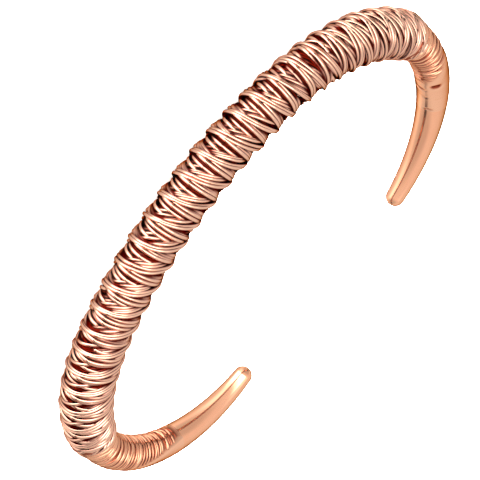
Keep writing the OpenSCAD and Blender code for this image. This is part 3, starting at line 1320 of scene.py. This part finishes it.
@dataclass
class Studio:
    """Pale floor, soft light and the camera at the photo's angle to the cuff.

    The camera's angles are in degrees, and its distance and aim in millimetres from the middle
    of the cuff. px_per_mm is the size of the cuff in the picture.
    """

    azimuth: float = 6.94
    elevation: float = 27.21
    roll: float = 127.44
    distance: float = 816.0
    aim_right: float = -1.595
    aim_up: float = -0.214
    px_per_mm: float = 7.901
    sensor: float = 36.0
    clip: tuple[float, float] = (0.01, 100.0)
    floor_size: float = 4.0
    softboxes: tuple[Softbox, ...] = (Softbox("overhead", (0.1, 0.2, 1.2), 2.6, 160),
                                      Softbox("front", (0.2, -1.3, 0.9), 2.0, 220))
    # Angles over the horizon ahead of the middles of the strip light and of the dark card.
    strip_middle: float = -17.0
    card_middle: float = -153.0
    # Behind the cuff: a bright wall over a paler floor, with the dark card low down.
    back_wall: Fade = Fade(Way.UP, -0.06, 0.02, 0.85, 0.95)
    dark_card: Fade = Fade(Way.CARD, 0.84, 0.96, 1.0, 0.12)
    # Ahead of it: walls that grow darker to the sides, and where the half ahead begins.
    front_wall: Fade = Fade(Way.ACROSS, 0.50, 0.90, 0.95, 0.68)
    front_half: Fade = Fade(Way.STRIP, -0.60, -0.25, 0.0, 1.0)
    # A glow from the pale floor ahead: its width, its top and its foot.
    glow_width: Fade = Fade(Way.ACROSS, 0.6, 1.0, 0.95, 0.0)
    glow_top: Fade = Fade(Way.UP, -0.03, 0.03, 1.0, 0.0)
    glow_foot: Fade = Fade(Way.UP, -0.90, -0.50, 0.0, 1.0)
    # The strip light: its width and strength, its far end and its foot.
    strip_width: Fade = Fade(Way.ACROSS, 0.12, 0.38, 4.2, 0.0)
    strip_end: Fade = Fade(Way.STRIP, -0.05, 0.15, 0.2, 1.0)
    strip_foot: Fade = Fade(Way.UP, -0.95, -0.65, 0.0, 1.0)
    # A dark line along the horizon, on both sides of the strip light.
    line_below: Fade = Fade(Way.UP, -0.14, -0.08, 1.0, 0.15)
    line_above: Fade = Fade(Way.UP, 0.08, 0.14, 0.15, 1.0)
    line_gap: Fade = Fade(Way.ACROSS, 0.15, 0.25, 1.0, 0.0)

    def camera(self, height: float) -> None:
        """Place the camera.

        Args:
            height: Height of the bar's middle line over the floor, in millimetres.
        """
        a, e, r = (math.radians(x) for x in (self.azimuth, self.elevation, self.roll))
        back = Vector((math.sin(a) * math.cos(e), -math.cos(a) * math.cos(e), math.sin(e)))
        level = Vector((math.cos(a), math.sin(a), 0))
        rise = back.cross(level)
        right = math.cos(r) * level + math.sin(r) * rise
        up = -math.sin(r) * level + math.cos(r) * rise
        place = back * self.distance + right * self.aim_right + up * self.aim_up
        place += Vector((0, 0, height))
        data = bpy.data.cameras.new("photo_camera")
        data.sensor_width = self.sensor
        data.lens = self.px_per_mm * self.distance / IMAGE_PX * self.sensor
        data.clip_start, data.clip_end = self.clip
        camera = bpy.data.objects.new("photo_camera", data)
        turn = Matrix((right, up, back)).transposed()
        camera.matrix_world = Matrix.Translation(place * MM) @ turn.to_4x4()
        bpy.context.scene.collection.objects.link(camera)
        bpy.context.scene.camera = camera

    def floor(self) -> None:
        """Lay the paper sweep. The polished metal doesn't mirror it."""
        half = self.floor_size / 2
        mesh = bpy.data.meshes.new("floor")
        mesh.from_pydata([(-half, -half, 0), (half, -half, 0), (half, half, 0), (-half, half, 0)],
                         [], [(0, 1, 2, 3)])
        floor = bpy.data.objects.new("floor", mesh)
        mesh.materials.append(PaperFloor().material())
        floor.visible_glossy = False
        bpy.context.scene.collection.objects.link(floor)

    def hang(self, box: Softbox) -> None:
        """Hang a softbox. The polished metal doesn't mirror it.

        Args:
            box: The softbox.
        """
        data = bpy.data.lights.new(box.name, "AREA")
        data.size = box.size
        data.energy = box.watts
        lamp = bpy.data.objects.new(box.name, data)
        lamp.location = box.place
        lamp.rotation_euler = Vector(box.place).to_track_quat("Z", "Y").to_euler()
        lamp.visible_glossy = False
        bpy.context.scene.collection.objects.link(lamp)

    def ways(self) -> dict[Way, Vector]:
        """Directions in the studio, with ahead from the cuff towards the camera.

        Returns:
            A unit vector for each way.
        """
        turn = math.radians(self.azimuth)
        ahead = Vector((math.sin(turn), -math.cos(turn), 0))
        up = Vector((0, 0, 1))
        lean = math.radians(self.strip_middle)
        fall = math.radians(self.card_middle)
        return {Way.UP: up,
                Way.ACROSS: Vector((math.cos(turn), math.sin(turn), 0)),
                Way.CARD: math.cos(fall) * ahead + math.sin(fall) * up,
                Way.STRIP: math.cos(lean) * ahead + math.sin(lean) * up}

    def world(self) -> None:
        """Studio walls, as the polished metal mirrors them.

        A tall strip light in front draws a bright line along each wire, darker side walls and the wire's
        painted shade give it dark flanks, and a dark card low behind the cuff draws its edges.
        """
        world = bpy.data.worlds.new("studio")
        bpy.context.scene.world = world
        world.use_nodes = True
        tree = world.node_tree
        look = add_node(tree, "ShaderNodeTexCoord").outputs["Generated"]
        along = {way: add_node(tree, "ShaderNodeVectorMath", {"operation": "DOT_PRODUCT", 1: vector},
                               {0: look}).outputs["Value"] for way, vector in self.ways().items()}
        along[Way.ACROSS] = add_node(tree, "ShaderNodeMath", {"operation": "ABSOLUTE"},
                                     {0: along[Way.ACROSS]}).outputs[0]

        def strength(part: Fade | bpy.types.NodeSocket) -> bpy.types.NodeSocket:
            """Find the socket that holds a brightness.

            Args:
                part: A fade, which gets its node here, or a socket, which stays as it is.

            Returns:
                The socket.
            """
            if not isinstance(part, Fade):
                return part
            limits = {"From Min": part.start, "From Max": part.end,
                      "To Min": part.low, "To Max": part.high}
            return add_node(tree, "ShaderNodeMapRange", {"interpolation_type": "SMOOTHSTEP", **limits},
                            {"Value": along[part.way]}).outputs["Result"]

        def join(kind: str, *parts: Fade | bpy.types.NodeSocket) -> bpy.types.NodeSocket:
            """Join several brightnesses.

            Args:
                kind: The Math node's operation.
                parts: The brightnesses.

            Returns:
                The socket of the result.
            """
            whole, *others = (strength(part) for part in parts)
            for other in others:
                whole = add_node(tree, "ShaderNodeMath", {"operation": kind},
                                 {0: whole, 1: other}).outputs[0]
            return whole

        behind = join("MULTIPLY", self.back_wall, self.dark_card)
        glow = join("MULTIPLY", self.glow_width, self.glow_top, self.glow_foot)
        strip = join("MULTIPLY", self.strip_width, self.strip_end, self.strip_foot)
        line = join("MAXIMUM", self.line_below, self.line_above, self.line_gap)
        ahead = join("MULTIPLY", join("ADD", self.front_wall, glow, strip), line)
        room = add_node(tree, "ShaderNodeMix", None,
                        {"Factor": strength(self.front_half), NUMBER_A: behind, NUMBER_B: ahead})
        sky = tree.nodes["Background"]
        sky.inputs["Color"].default_value = linear("FFFFFF")
        tree.links.new(room.outputs[NUMBER_OUT], sky.inputs["Strength"])

    def build(self) -> None:
        """Set up everything round the cuff but the camera."""
        self.floor()
        self.world()
        for box in self.softboxes:
            self.hang(box)
        bpy.context.scene.view_settings.view_transform = "Standard"


def main() -> None:
    """Build the cuff and its studio."""
    logging.basicConfig(level=logging.INFO, format="%(name)s: %(message)s")
    axis = CuffAxis()
    studio = Studio()
    studio.camera(axis.height)
    CuffBar(axis).build()
    Winding(axis).build()
    left_creases = (
        Crease(from_tip=20.1, phi=180, half_mm=0.20, half_deg=18, depth=0.14),
        Crease(from_tip=20.9, phi=122, half_mm=0.34, half_deg=16, depth=0.30),
        Crease(from_tip=18.4, phi=165, half_mm=0.16, half_deg=14, depth=0.05),
        Crease(from_tip=17.9, phi=122, half_mm=0.14, half_deg=12, depth=0.04),
        Crease(from_tip=15.95, phi=148, half_mm=0.13, half_deg=18, depth=0.10),
    )
    EndWrap(axis, Side.LEFT, gone_mid=22.2, gone_swing=2.2, fade_len=3.5, creases=left_creases).build()
    EndWrap(axis, Side.RIGHT, gone_mid=17.0, gone_swing=6.4, fade_len=3.0).build()
    studio.build()


if __name__ == "__main__":
    main()
